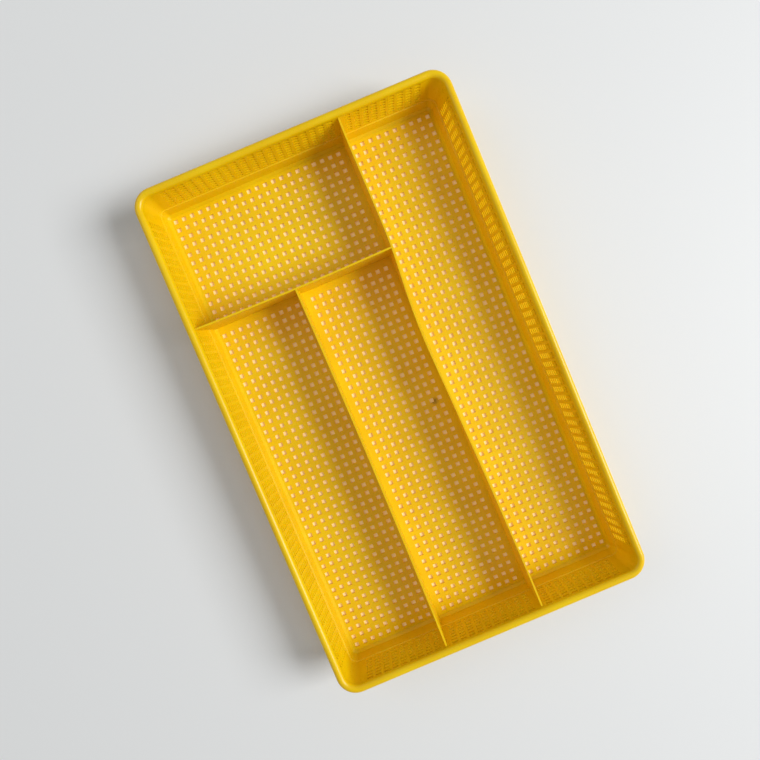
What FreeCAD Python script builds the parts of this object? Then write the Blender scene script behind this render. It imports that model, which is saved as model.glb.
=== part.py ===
"""Perforated cutlery tray for a kitchen drawer: one moulding, modelled member by member.

The tray is a single injection moulding of yellow polypropylene.  Its members are modelled as
separate solids that meet face to face: the perforated floor, four slotted wall panels, four
plain corner bends, the rolled rim and three dividers.

Frame: millimetres, +Z up, origin on the table under the middle of the tray.  +Y runs along the
tray towards the transverse compartment (the back), +X runs across it towards the full-length
compartment (the right).

Every member of the shell is set out from the field, the rectangle of whole grid squares that
the floor perforations fill.  An offset is a distance outwards from the edge of that field.
"""
import FreeCAD, Part
import math
import os
from FreeCAD import Placement, Rotation, Vector

# ---------------------------------------------------------------- driving dimensions
# alias, value in millimetres (or a plain count), what it is
SIZES = [
    ("rim_length", 348.0, "overall length over the rim"),
    ("rim_width", 214.0, "overall width over the rim"),
    ("total_height", 38.0, "table to the crest of the rim"),
    ("grid_pitch", 6.0, "spacing of the perforations, both ways"),
    ("hole_size", 2.9, "side of a square floor hole"),
    ("floor_thickness", 1.4, "floor plate"),
    ("wall_thickness", 1.4, "wall, measured across"),
    ("rim_reach", 11.0, "outer edge of the rim, outwards from the field"),
    ("corner_centre", 2.0, "corner axis, inwards from the field"),
    ("floor_edge", 0.5, "edge of the flat floor, inwards from the field"),
    ("blend_size", 1.8, "slope between the floor and the lower wall"),
    ("ledge_height", 11.8, "height of the small ledge under the slots"),
    ("ledge_offset", 2.4, "lower wall face at the ledge, outwards from the field"),
    ("ledge_width", 0.6, "step of the ledge"),
    ("crease_drop", 3.2, "foot of the rim, below its crest"),
    ("crease_offset", 5.8, "inner wall face at the foot of the rim, outwards from the field"),
    ("rim_shell", 1.5, "thickness of the rolled rim"),
    ("lip_depth", 5.2, "end of the rim's outer lip, below its crest"),
    ("slot_length", 4.0, "wall slot, along the wall"),
    ("slot_height", 1.7, "wall slot, up the wall"),
    ("slot_spacing", 3.1, "spacing of the slots up the wall"),
    ("slot_rows", 7, "slots in one stack"),
    ("slot_first", 14.5, "middle of the lowest slot above the table"),
    ("slot_end_margin", 2.0, "plain wall between the last slot and the corner bend"),
    ("divider_thickness", 1.4, "divider at its foot"),
    ("divider_top_thickness", 1.1, "divider at its top edge"),
    ("divider_drop", 3.4, "top edge of the dividers, below the rim's crest"),
    ("divider_clear", 1.2, "plain strip between a divider and the nearest hole or slot"),
    ("long_divider_x", 33.6, "long divider, right of the middle"),
    ("short_divider_x", -33.6, "short divider, left of the middle"),
    ("cross_divider_y", 82.2, "cross divider, behind the middle"),
    ("long_bow", 3.7, "how far the long divider's top edge bows to the left"),
    ("long_bow_y", 22.0, "where that bow is deepest"),
    ("short_bow", 1.5, "how far the short divider's top edge bows to the right"),
    ("cross_bow", 1.0, "how far the cross divider's top edge bows to the front"),
]


def make_sheet(doc):
    """Write the driving dimensions into a spreadsheet, one aliased cell each."""
    sheet = doc.addObject("Spreadsheet::Sheet", "Sizes")
    for row, (alias, value, note) in enumerate(SIZES, start=1):
        sheet.set("A%d" % row, alias)
        sheet.set("B%d" % row, repr(value))
        sheet.set("C%d" % row, note)
        sheet.setAlias("B%d" % row, alias)
    doc.recompute()
    return sheet


doc = FreeCAD.newDocument("cutlery_tray")
sheet = make_sheet(doc)


def size(alias):
    """Read one driving dimension back from the sheet."""
    return float(sheet.get(alias))


# ---------------------------------------------------------------- layout worked out from them
PITCH = size("grid_pitch")
FIELD_X = size("rim_width") / 2 - size("rim_reach")      # half the field, across
FIELD_Y = size("rim_length") / 2 - size("rim_reach")     # half the field, along
CORNER_X = FIELD_X - size("corner_centre")               # axis of the right back corner
CORNER_Y = FIELD_Y - size("corner_centre")
CREASE_Z = size("total_height") - size("crease_drop")
DIVIDER_TOP = size("total_height") - size("divider_drop")


def grid_lines(half_field):
    """Middles of the whole grid squares that fit a field, centred on the tray."""
    count = int(2 * half_field / PITCH + 1e-6)
    return [(i - (count - 1) / 2) * PITCH for i in range(count)]


def runs(lines, dividers, half_opening):
    """Unbroken runs of grid lines that are clear of dividers, as (first line, how many)."""
    gap = size("divider_thickness") / 2 + size("divider_clear") + half_opening
    found = []
    last = None
    for line in lines:
        if any(abs(line - divider) < gap - 1e-6 for divider in dividers):
            continue
        if last is not None and abs(line - last - PITCH) < 1e-6:
            found[-1][1] += 1
        else:
            found.append([line, 1])
        last = line
    return found


# ---------------------------------------------------------------- helpers
def origin_plane(body, role):
    """One of a body's own origin planes or axes, by its role."""
    return next(f for f in body.Origin.OriginFeatures if f.Role == role)


def wall_section():
    """Half section of a wall below the rim, as (offset, height) points.

    The inner face rises from the floor edge over a short slope to the ledge, steps out, and
    leans outwards to the crease.  The outer face keeps the wall's thickness.
    """
    thick = size("wall_thickness")
    edge = -size("floor_edge")
    blend = size("blend_size")
    floor_top = size("floor_thickness")
    ledge = size("ledge_offset")
    ledge_z = size("ledge_height")
    crease = size("crease_offset")
    return [
        (edge, 0.0),
        (edge, floor_top),
        (edge + blend, floor_top + blend),
        (ledge, ledge_z - 0.2),
        (ledge + size("ledge_width"), ledge_z),
        (crease, CREASE_Z),
        (crease + thick, CREASE_Z),
        (ledge + size("ledge_width") + thick, ledge_z),
        (edge + blend + thick + 0.4, floor_top),
        (edge + blend + 0.6, 0.0),
    ]


def divider_end_profile():
    """Inner wall face that a divider's end follows, from the floor to the divider's top edge."""
    points = wall_section()[1:6]
    (low_offset, low_z), (high_offset, high_z) = points[-2], points[-1]
    share = (DIVIDER_TOP - low_z) / (high_z - low_z)
    top = (low_offset + (high_offset - low_offset) * share, DIVIDER_TOP)
    return points[:-1] + [top]


def section_sketch(body, points, start):
    """Closed outline on the body's XZ plane; points are (offset, height), drawn from start."""
    sketch = body.newObject("Sketcher::SketchObject", body.Name + "_section")
    sketch.AttachmentSupport = [(origin_plane(body, "XZ_Plane"), "")]
    sketch.MapMode = "FlatFace"
    corners = [Vector(start + offset, height, 0) for offset, height in points]
    for index, corner in enumerate(corners):
        sketch.addGeometry(Part.LineSegment(corner, corners[(index + 1) % len(corners)]), False)
    return sketch


def rounded_rectangle(half_x, half_y, radius):
    """Edges of a centred rectangle with rounded corners, in order, for a sketch."""
    cx, cy = half_x - radius, half_y - radius
    arcs = []
    for sx, sy, turn in ((1, 1, 0), (-1, 1, 90), (-1, -1, 180), (1, -1, 270)):
        circle = Part.Circle(Vector(sx * cx, sy * cy, 0), Vector(0, 0, 1), radius)
        arcs.append(Part.ArcOfCircle(circle, math.radians(turn), math.radians(turn + 90)))
    pieces = []
    for index, arc in enumerate(arcs):
        pieces += [arc, Part.LineSegment(arc.EndPoint, arcs[(index + 1) % 4].StartPoint)]
    return pieces


# ---------------------------------------------------------------- floor
def hole_wires(across, along):
    """Closed square wires of one block of floor holes; each run is (first line, how many)."""
    half = size("hole_size") / 2
    wires = []
    for i in range(across[1]):
        for j in range(along[1]):
            x, y = across[0] + i * PITCH, along[0] + j * PITCH
            corners = [Vector(x + dx * half, y + dy * half, 0)
                       for dx, dy in ((-1, -1), (-1, 1), (1, 1), (1, -1), (-1, -1))]
            wires.append(Part.makePolygon(corners))
    return wires


def make_floor_panel(label, x_range, y_range, across, along):
    """Perforated floor of one compartment, reaching to the middle line of its dividers."""
    edge = size("floor_edge")
    plate = rounded_rectangle(FIELD_X - edge, FIELD_Y - edge, size("corner_centre") - edge)
    plate = Part.Face(Part.Wire([piece.toShape() for piece in plate]))
    share = Part.makePlane(x_range[1] - x_range[0], y_range[1] - y_range[0],
                           Vector(x_range[0], y_range[0], 0))
    outline = plate.common(share).Faces[0].OuterWire
    face = Part.Face([outline] + hole_wires(across, along))
    panel = doc.addObject("Part::Feature", label)
    panel.Shape = face.extrude(Vector(0, 0, size("floor_thickness")))
    return panel


def make_floor():
    """Floor panels of the four compartments, which meet under the dividers."""
    half = size("hole_size") / 2
    long_x, short_x, cross_y = (size("long_divider_x"), size("short_divider_x"),
                                size("cross_divider_y"))
    columns, rows = grid_lines(FIELD_X), grid_lines(FIELD_Y)
    left, right = runs(columns, [long_x], half)
    front, back = runs(rows, [cross_y], half)
    whole = runs(rows, [], half)[0]
    front_left, front_middle = runs(columns, [long_x, short_x], half)[:2]
    end_x, end_y = FIELD_X, FIELD_Y
    return [
        make_floor_panel("floor_right", (long_x, end_x), (-end_y, end_y), right, whole),
        make_floor_panel("floor_back", (-end_x, long_x), (cross_y, end_y), left, back),
        make_floor_panel("floor_left", (-end_x, short_x), (-end_y, cross_y), front_left, front),
        make_floor_panel("floor_middle", (short_x, long_x), (-end_y, cross_y),
                         front_middle, front),
    ]


# ---------------------------------------------------------------- walls
def make_wall(label, turn, dividers):
    """One straight wall panel with its stacks of slots.

    The panel is drawn standing at +X and turned about Z into its place.  dividers are the
    places along the wall where a divider meets it, on the panel's own Y.
    """
    long_way = turn % 180 == 0
    across, field = (FIELD_X, FIELD_Y) if long_way else (FIELD_Y, FIELD_X)
    body = doc.addObject("PartDesign::Body", label + "_panel")
    panel = body.newObject("PartDesign::Pad", label + "_pad")
    panel.Profile = section_sketch(body, wall_section(), across)
    panel.Midplane = True
    overall = "Sizes.rim_length" if long_way else "Sizes.rim_width"
    panel.setExpression("Length", overall + " - 2 * (Sizes.rim_reach + Sizes.corner_centre)")
    length, height = size("slot_length"), size("slot_height")
    reach = field - size("corner_centre") - size("slot_end_margin")
    lines = [line for line in grid_lines(field) if abs(line) + length / 2 <= reach + 1e-6]
    depth = 4 * size("crease_offset")
    boxes = []
    for first, stacks in runs(lines, dividers, length / 2):
        for stack in range(stacks):
            for row in range(int(size("slot_rows"))):
                corner = Vector(across - depth / 4, first + stack * PITCH - length / 2,
                                size("slot_first") + row * size("slot_spacing") - height / 2)
                boxes.append(Part.makeBox(depth, length, height, corner))
    slots = doc.addObject("Part::Feature", label + "_slots")
    slots.Shape = Part.makeCompound(boxes)
    wall = doc.addObject("Part::Cut", label)
    wall.Base = body
    wall.Tool = slots
    wall.Placement = Placement(Vector(0, 0, 0), Rotation(Vector(0, 0, 1), turn))
    return wall


def make_corner(label, turn):
    """Plain corner bend: the wall section turned a quarter round the corner axis."""
    body = doc.addObject("PartDesign::Body", label)
    sketch = section_sketch(body, wall_section(), size("corner_centre"))
    bend = body.newObject("PartDesign::Revolution", label + "_bend")
    bend.Profile = sketch
    bend.ReferenceAxis = (origin_plane(body, "Z_Axis"), [""])
    bend.Angle = 90.0
    sx, sy = {0: (1, 1), 90: (-1, 1), 180: (-1, -1), 270: (1, -1)}[turn]
    body.Placement = Placement(Vector(sx * CORNER_X, sy * CORNER_Y, 0),
                               Rotation(Vector(0, 0, 1), turn))
    return body


# ---------------------------------------------------------------- rim
def rim_section(start):
    """Closed wire of the rolled rim, a hook that opens downwards, on the XZ plane."""
    top = size("total_height")
    shell = size("rim_shell")
    crease = start + size("crease_offset")
    outer = start + size("rim_reach")
    lip_end = top - size("lip_depth")
    crest = (crease + outer) / 2
    half = (outer - crease) / 2
    shoulder = top - half
    bow = half * math.sqrt(0.5)
    inner_half = outer - shell - crest
    inner_bow = inner_half * math.sqrt(0.5)
    wall_top = crease + size("wall_thickness")

    def at(x, z):
        return Vector(x, 0, z)

    edges = [
        Part.Arc(at(crease, CREASE_Z), at(crest - bow, shoulder + bow), at(crest, top)).toShape(),
        Part.Arc(at(crest, top), at(crest + bow, shoulder + bow), at(outer, shoulder)).toShape(),
        Part.LineSegment(at(outer, shoulder), at(outer, lip_end)).toShape(),
        Part.LineSegment(at(outer, lip_end), at(outer - shell, lip_end)).toShape(),
        Part.LineSegment(at(outer - shell, lip_end), at(outer - shell, shoulder)).toShape(),
        Part.Arc(at(outer - shell, shoulder), at(crest + inner_bow, shoulder + inner_bow),
                 at(crest, shoulder + inner_half)).toShape(),
        Part.LineSegment(at(crest, shoulder + inner_half), at(wall_top, CREASE_Z)).toShape(),
        Part.LineSegment(at(wall_top, CREASE_Z), at(crease, CREASE_Z)).toShape(),
    ]
    return Part.Wire(edges)


def make_rim():
    """Rolled rim: four straight runs and four bends of one section, joined into a ring."""
    pieces = []
    for turn in (0, 90, 180, 270):
        across, along = (FIELD_X, CORNER_Y) if turn % 180 == 0 else (FIELD_Y, CORNER_X)
        run = Part.Face(rim_section(across))
        run.translate(Vector(0, -along, 0))
        run = run.extrude(Vector(0, 2 * along, 0))
        run.rotate(Vector(0, 0, 0), Vector(0, 0, 1), turn)
        bend = Part.Face(rim_section(size("corner_centre")))
        bend = bend.revolve(Vector(0, 0, 0), Vector(0, 0, 1), 90)
        bend.rotate(Vector(0, 0, 0), Vector(0, 0, 1), turn)
        sx, sy = {0: (1, 1), 90: (-1, 1), 180: (-1, -1), 270: (1, -1)}[turn]
        bend.translate(Vector(sx * CORNER_X, sy * CORNER_Y, 0))
        pieces += [run, bend]
    rim = doc.addObject("Part::Feature", "rolled_rim")
    rim.Shape = pieces[0].fuse(pieces[1:]).removeSplitter()
    return rim


# ---------------------------------------------------------------- dividers
def end_outline(first, last, sides):
    """Outline of a divider seen from its side, as (along, height) points.

    first and last are where it ends at floor level; an end in sides leans with the wall.
    """
    leaning = divider_end_profile()
    floor_top = size("floor_thickness")
    upright = [(0.0, floor_top), (0.0, DIVIDER_TOP)]
    low = [(first - o if "first" in sides else first, z)
           for o, z in (leaning if "first" in sides else upright)]
    high = [(last + o if "last" in sides else last, z)
            for o, z in (leaning if "last" in sides else upright)]
    return low + high[::-1]


def make_divider(label, turn, place, first, last, sides, bow):
    """A thin upright plate whose foot is straight and whose top edge bows sideways.

    It is drawn along Y at x = place and turned about Z.  bow lists (along, sideways) places
    that the top edge passes through; a smooth curve joins them.
    """
    outline = [Vector(0, along, z) for along, z in end_outline(first, last, sides)]
    side_view = Part.Face(Part.makePolygon(outline + outline[:1]))
    depth = 4 * size("long_bow") + size("divider_thickness")
    side_view.translate(Vector(place - depth, 0, 0))
    envelope = side_view.extrude(Vector(2 * depth, 0, 0))
    floor_top = size("floor_thickness")
    reach = size("rim_reach") + size("grid_pitch")
    ends = (first - reach, last + reach)
    wires = []
    for z, thick, curve in ((floor_top, size("divider_thickness"), []),
                            (DIVIDER_TOP, size("divider_top_thickness"), bow)):
        sides_of_plate = []
        for half in (-thick / 2, thick / 2):
            points = [Vector(place + half, ends[0], z)]
            points += [Vector(place + half + shift, along, z) for along, shift in sorted(curve)]
            points += [Vector(place + half, ends[1], z)]
            spline = Part.BSplineCurve()
            spline.interpolate(points)
            sides_of_plate.append(spline.toShape())
        left, right = sides_of_plate
        caps = [Part.LineSegment(left.Vertexes[i].Point, right.Vertexes[i].Point).toShape()
                for i in (0, -1)]
        wires.append(Part.Wire([left, caps[1], right, caps[0]]))
    slab = Part.makeLoft(wires, True, True)
    plate = doc.addObject("Part::Feature", label)
    shape = envelope.common(slab)
    shape.rotate(Vector(0, 0, 0), Vector(0, 0, 1), turn)
    plate.Shape = shape.Solids[0]
    return plate


def make_dividers():
    """Long divider from wall to wall, cross divider to its left, short divider in front of that."""
    half = size("divider_thickness") / 2
    bow, deep = size("long_bow"), size("long_bow_y")
    cross = size("cross_divider_y")
    long_bows = [(cross + 20, 0.0), (cross, -0.1 * bow), ((cross + deep) / 2, -0.7 * bow),
                 (deep, -bow), (deep - 35, -0.75 * bow), (deep - 90, -0.3 * bow),
                 (deep - 145, 0.0)]
    long_divider = make_divider("long_divider", 0, size("long_divider_x"), -FIELD_Y, FIELD_Y,
                                ("first", "last"), long_bows)
    # the cross divider is drawn along Y and turned a quarter, so its own x is the tray's y
    span = (size("short_divider_x") - FIELD_X) / 2
    cross_bows = [(-span, -size("cross_bow"))]
    cross_long = make_divider("cross_blank", 90, cross, -size("long_divider_x"), FIELD_X,
                              ("last",), cross_bows)
    cross_divider = doc.addObject("Part::Cut", "cross_divider")
    cross_divider.Base = cross_long
    cross_divider.Tool = long_divider
    front_face = cross - half
    middle = (front_face - FIELD_Y) / 2
    short_bows = [(middle, size("short_bow"))]
    short_long = make_divider("short_blank", 0, size("short_divider_x"), -FIELD_Y,
                              front_face, ("first",), short_bows)
    short_divider = doc.addObject("Part::Cut", "short_divider")
    short_divider.Base = short_long
    short_divider.Tool = cross_divider
    return [long_divider, cross_divider, short_divider]


# ---------------------------------------------------------------- build, check, write
def main():
    long_x, short_x, cross_y = (size("long_divider_x"), size("short_divider_x"),
                                size("cross_divider_y"))
    nodes = make_floor()
    # a wall's own y axis is turned with it, so the divider places take the turned sign
    nodes.append(make_wall("right_wall", 0, []))
    nodes.append(make_wall("back_wall", 90, [-long_x]))
    nodes.append(make_wall("left_wall", 180, [-cross_y]))
    nodes.append(make_wall("front_wall", 270, [long_x, short_x]))
    for name, turn in (("back_right_corner", 0), ("back_left_corner", 90),
                       ("front_left_corner", 180), ("front_right_corner", 270)):
        nodes.append(make_corner(name, turn))
    nodes.append(make_rim())
    nodes += make_dividers()
    doc.recompute()

    for item in doc.Objects:
        if "Invalid" in item.State or "Error" in item.State:
            raise RuntimeError("%s did not build: %s" % (item.Name, item.State))
    os.makedirs("parts", exist_ok=True)
    for node in nodes:
        shape = node.Shape
        if shape.isNull() or not shape.isValid() or not shape.Solids:
            raise RuntimeError("%s has no valid solid" % node.Label)
        box = shape.BoundBox
        print("%-20s solids %d volume %9.1f  x %7.1f..%6.1f  y %7.1f..%6.1f  z %5.1f..%5.1f" % (
            node.Label, len(shape.Solids), shape.Volume, box.XMin, box.XMax,
            box.YMin, box.YMax, box.ZMin, box.ZMax))
        shape.exportStep("parts/%s.step" % node.Label)


main()
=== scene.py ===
# %% [markdown]
# # A perforated cutlery tray
# The tray is one injection moulding of yellow polypropylene: a perforated floor, slotted walls
# that lean outwards, a rolled rim and thin dividers.  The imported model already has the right
# shape for all of them, so these lessons load it as a fixed frame, change no shape, and give it
# its plastic, its wear, and a table and light that show them.

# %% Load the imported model
import math
import bpy
from mathutils import Euler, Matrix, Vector


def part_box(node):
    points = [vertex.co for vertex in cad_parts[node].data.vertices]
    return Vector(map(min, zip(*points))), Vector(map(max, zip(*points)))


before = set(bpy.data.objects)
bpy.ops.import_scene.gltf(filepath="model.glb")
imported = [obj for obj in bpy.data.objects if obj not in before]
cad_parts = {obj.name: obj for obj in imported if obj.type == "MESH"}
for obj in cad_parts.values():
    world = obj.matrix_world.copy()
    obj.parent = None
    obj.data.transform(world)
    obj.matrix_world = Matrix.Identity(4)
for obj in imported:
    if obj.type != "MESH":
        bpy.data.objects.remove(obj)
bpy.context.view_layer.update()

print("nodes:", sorted(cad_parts))

# %% [markdown]
# ## Helpers
# Blender stores colour as linear light, while a hex value is what the eye sees on a screen, so
# one function turns the second into the first.  Another adds a shader node together with its
# settings and links, which keeps every material below to a few readable lines.

# %% Colour and node helpers
def hex_colour(code):
    """Turn an sRGB hex value such as "#F2C21A" into linear red, green, blue and alpha."""
    parts = [int(code[i:i + 2], 16) / 255 for i in (1, 3, 5)]
    return [p / 12.92 if p <= 0.04045 else ((p + 0.055) / 1.055) ** 2.4 for p in parts] + [1.0]


def add_node(tree, kind, settings=(), inputs=(), links=()):
    """Add a node; settings and inputs are (name, value), links are (input name, output)."""
    node = tree.nodes.new(kind)
    for name, value in settings:
        setattr(node, name, value)
    for name, value in inputs:
        node.inputs[name].default_value = value
    for name, output in links:
        tree.links.new(output, node.inputs[name])
    return node


def new_material(name):
    """Start an empty node material and return it with its tree."""
    material = bpy.data.materials.new(name)
    material.use_nodes = True
    material.node_tree.nodes.clear()
    return material, material.node_tree


# %% [markdown]
# ## The plastic
# Polypropylene straight from a polished mould has a soft gloss, not a mirror.  Pigment makes it
# look solid, but walls under 2 mm let some light through: the walls glow when lit from behind,
# and the table under the floor is lit warm.  Subsurface scattering softens the edges, and a
# translucent share lets the light pass.  Two patterns break up the surface:
# broad, faint clouds of pigment about 30 mm across, and a very shallow ripple about 12 mm
# across, which is how a thin moulding shrinks between its ribs and what makes highlights waver.

# %% Moulded yellow polypropylene
PIGMENT_CLOUD_MM = 30.0
MOULD_RIPPLE_MM = 12.0
HANDLING_MARK_MM = 1.5
WALL_GLOW = 0.20             # share of the light that a wall lets through
FLOOR_GLOW = 0.12            # the floor, which lies close to the table


def yellow_polypropylene(name, glow_share):
    """Injection-moulded polypropylene: soft gloss, faintly translucent, warm where it is thin."""
    material, tree = new_material(name)
    place = add_node(tree, "ShaderNodeTexCoord").outputs["Object"]
    clouds = add_node(tree, "ShaderNodeTexNoise", inputs=[
        ("Scale", 1000 / PIGMENT_CLOUD_MM), ("Detail", 2.0), ("Roughness", 0.5)],
        links=[("Vector", place)])
    colour = add_node(tree, "ShaderNodeValToRGB", links=[("Fac", clouds.outputs["Fac"])])
    colour.color_ramp.elements[0].position = 0.35
    colour.color_ramp.elements[0].color = hex_colour("#F8D000")
    colour.color_ramp.elements[1].position = 0.68
    colour.color_ramp.elements[1].color = hex_colour("#FEDA04")
    marks = add_node(tree, "ShaderNodeTexNoise", inputs=[
        ("Scale", 1000 / HANDLING_MARK_MM), ("Detail", 3.0)], links=[("Vector", place)])
    gloss = add_node(tree, "ShaderNodeMapRange", inputs=[
        ("From Min", 0.3), ("From Max", 0.7), ("To Min", 0.26), ("To Max", 0.36)],
        links=[("Value", marks.outputs["Fac"])])
    ripple = add_node(tree, "ShaderNodeTexNoise", inputs=[
        ("Scale", 1000 / MOULD_RIPPLE_MM), ("Detail", 1.0)], links=[("Vector", place)])
    bump = add_node(tree, "ShaderNodeBump", inputs=[("Strength", 0.12), ("Distance", 0.0006)],
                    links=[("Height", ripple.outputs["Fac"])])
    plastic = add_node(tree, "ShaderNodeBsdfPrincipled", inputs=[
        ("IOR", 1.49), ("Subsurface Weight", 0.12), ("Subsurface Radius", (1.0, 0.60, 0.05)),
        ("Subsurface Scale", 0.002)],
        links=[("Base Color", colour.outputs["Color"]), ("Roughness", gloss.outputs["Result"]),
               ("Normal", bump.outputs["Normal"])])
    glow = add_node(tree, "ShaderNodeBsdfTranslucent", inputs=[
        ("Color", hex_colour("#FFD23C"))], links=[("Normal", bump.outputs["Normal"])])
    thin = add_node(tree, "ShaderNodeMixShader", inputs=[(0, glow_share)], links=[
        (1, plastic.outputs["BSDF"]), (2, glow.outputs["BSDF"])])
    add_node(tree, "ShaderNodeOutputMaterial", links=[("Surface", thin.outputs["Shader"])])
    return material


wall_plastic = yellow_polypropylene("yellow_moulded_polypropylene", WALL_GLOW)
floor_plastic = yellow_polypropylene("thin_yellow_polypropylene_floor", FLOOR_GLOW)
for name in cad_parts:
    node = bpy.data.objects[name]
    node.data.materials.clear()
    node.data.materials.append(floor_plastic if name.startswith("floor") else wall_plastic)
print("plastic given to", len(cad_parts), "nodes")

# %% [markdown]
# ## Wear
# Years of cutlery leave marks where the tips lie.  The middle compartment has a small brownish
# smudge a few millimetres wide.  It could be painted on a picture, but a material that measures
# the distance to one place on the floor, and breaks the edge up with noise, needs no picture and
# stays put from every side.  It goes on a copy of the floor's plastic.

# %% Smudge on the middle floor
SMUDGE_PLACE = (0.0228, -0.0222, 0.0014)
SMUDGE_RADIUS_MM = 3.4
GRIME_GRAIN_MM = 1.1


def smudged(material, place, radius_mm):
    """Copy a plastic and darken it in a ragged spot around place."""
    copy = material.copy()
    copy.name = "smudged_polypropylene_floor"
    tree = copy.node_tree
    plastic = next(n for n in tree.nodes if n.type == "BSDF_PRINCIPLED")
    clean = plastic.inputs["Base Color"].links[0].from_socket
    where = add_node(tree, "ShaderNodeTexCoord").outputs["Object"]
    away = add_node(tree, "ShaderNodeVectorMath", settings=[("operation", "DISTANCE")],
                    inputs=[(1, place)], links=[(0, where)])
    grain = add_node(tree, "ShaderNodeTexNoise", inputs=[
        ("Scale", 1000 / GRIME_GRAIN_MM), ("Detail", 3.0)], links=[("Vector", where)])
    spot = add_node(tree, "ShaderNodeMapRange", inputs=[
        ("From Min", radius_mm / 1000), ("From Max", 0.0), ("To Min", 0.0), ("To Max", 1.5)],
        links=[("Value", away.outputs["Value"])])
    ragged = add_node(tree, "ShaderNodeMath", settings=[("operation", "MULTIPLY"),
                                                        ("use_clamp", True)],
                      links=[(0, spot.outputs["Result"]), (1, grain.outputs["Fac"])])
    stained = add_node(tree, "ShaderNodeMix", settings=[("data_type", "RGBA")],
                       inputs=[("B", hex_colour("#5A3D08"))],
                       links=[("Factor", ragged.outputs["Value"]), ("A", clean)])
    tree.links.new(stained.outputs["Result"], plastic.inputs["Base Color"])
    return copy


bpy.data.objects["floor_middle"].data.materials[0] = smudged(
    floor_plastic, SMUDGE_PLACE, SMUDGE_RADIUS_MM)
print("smudge at", SMUDGE_PLACE)

# %% [markdown]
# ## Table
# A pale, matt table shows the tray's own colour.  Under the tray the real table is lit mostly by
# light that has come through the yellow plastic, more of it than a few bounces can carry, so a
# second, warm board as large as the tray's floor lies just above the table and stands in for it:
# its warm colour and faint glow are painted light, though it is no lamp.  The board is part of
# the stage, and so is the table.

# %% Table
def painted_board(name, colour, glow=0.0):
    """Smooth painted board, matt and pale; glow is painted light, standing for light that comes
    through plastic.
    """
    material, tree = new_material(name)
    board = add_node(tree, "ShaderNodeBsdfPrincipled", inputs=[
        ("Base Color", hex_colour(colour)), ("Roughness", 0.6),
        ("Emission Color", hex_colour("#FFD890")), ("Emission Strength", glow)])
    add_node(tree, "ShaderNodeOutputMaterial", links=[("Surface", board.outputs["BSDF"])])
    return material


def lay_board(name, width, length, height, material):
    """A flat board of the stage, centred under the tray."""
    bpy.ops.object.select_all(action="DESELECT")
    bpy.ops.mesh.primitive_plane_add(size=1.0, location=(0, 0, height))
    board = bpy.context.object
    board.name = name
    board.scale = (width, length, 1.0)
    bpy.ops.object.transform_apply(location=True, rotation=True, scale=True)
    board.data.materials.append(material)
    return board


lay_board("table", 6.0, 6.0, -0.0003, painted_board("pale_matt_table", "#E4E6E7"))
# Painted light: the warm board's colour and glow stand in for light coming through the plastic.
low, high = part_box("floor_right")
lay_board("glow_under_tray", 2 * high[0] - 0.002, 2 * high[1] - 0.002, 0.0,
          painted_board("table_lit_through_plastic", "#FFE3AE", glow=0.15))
print("floor of the tray spans", [round(2000 * side) for side in high[:2]], "mm")

# %% [markdown]
# ## Soft light
# The room has one window side.  An area light gives soft-edged shadows, softer the larger it is,
# and a light far away gives an even table.  Both lights stand well off the vertical, because the
# floor would mirror a light near the camera and lose its colour.  A dim, even sky fills the rest.

# %% Lights
def soft_light(name, place, aim, side, power):
    """A square area light at place, turned to face aim."""
    bpy.ops.object.light_add(type="AREA", location=place)
    light = bpy.context.object
    light.name = name
    light.data.size = side
    light.data.energy = power
    light.rotation_euler = (Vector(aim) - Vector(place)).to_track_quat("-Z", "Y").to_euler()
    return light


soft_light("window_side", (2.2, -0.7, 2.0), (0, 0, 0), 1.5, 88.0)
soft_light("room_side", (-1.5, 1.5, 1.8), (0, 0, 0), 1.5, 7.0)
world = bpy.data.worlds.new("soft_room")
world.use_nodes = True
world.node_tree.nodes["Background"].inputs["Color"].default_value = hex_colour("#F8F8F6")
world.node_tree.nodes["Background"].inputs["Strength"].default_value = 0.34
bpy.context.scene.world = world

# %% [markdown]
# ## Camera
# The camera hangs about 420 mm above the table, a little behind the middle of the tray, and
# looks almost straight down, turned by 23 degrees.  The standard view keeps the yellow as full
# as the eye sees it, where a film-like view would wash it out.

# %% Camera
FOCAL_LENGTH_MM = 28.83
SENSOR_MM = 36.0
camera_data = bpy.data.cameras.new("camera")
camera_data.lens = FOCAL_LENGTH_MM
camera_data.sensor_width = SENSOR_MM
camera = bpy.data.objects.new("camera", camera_data)
bpy.context.collection.objects.link(camera)
camera.location = (-0.006, 0.0218, 0.4216)
camera.rotation_euler = Euler([math.radians(a) for a in (-2.018, -0.792, -22.772)], "XYZ")
bpy.context.scene.camera = camera
bpy.context.scene.view_settings.view_transform = "Standard"
print("camera at", tuple(round(1000 * c) for c in camera.location), "mm")
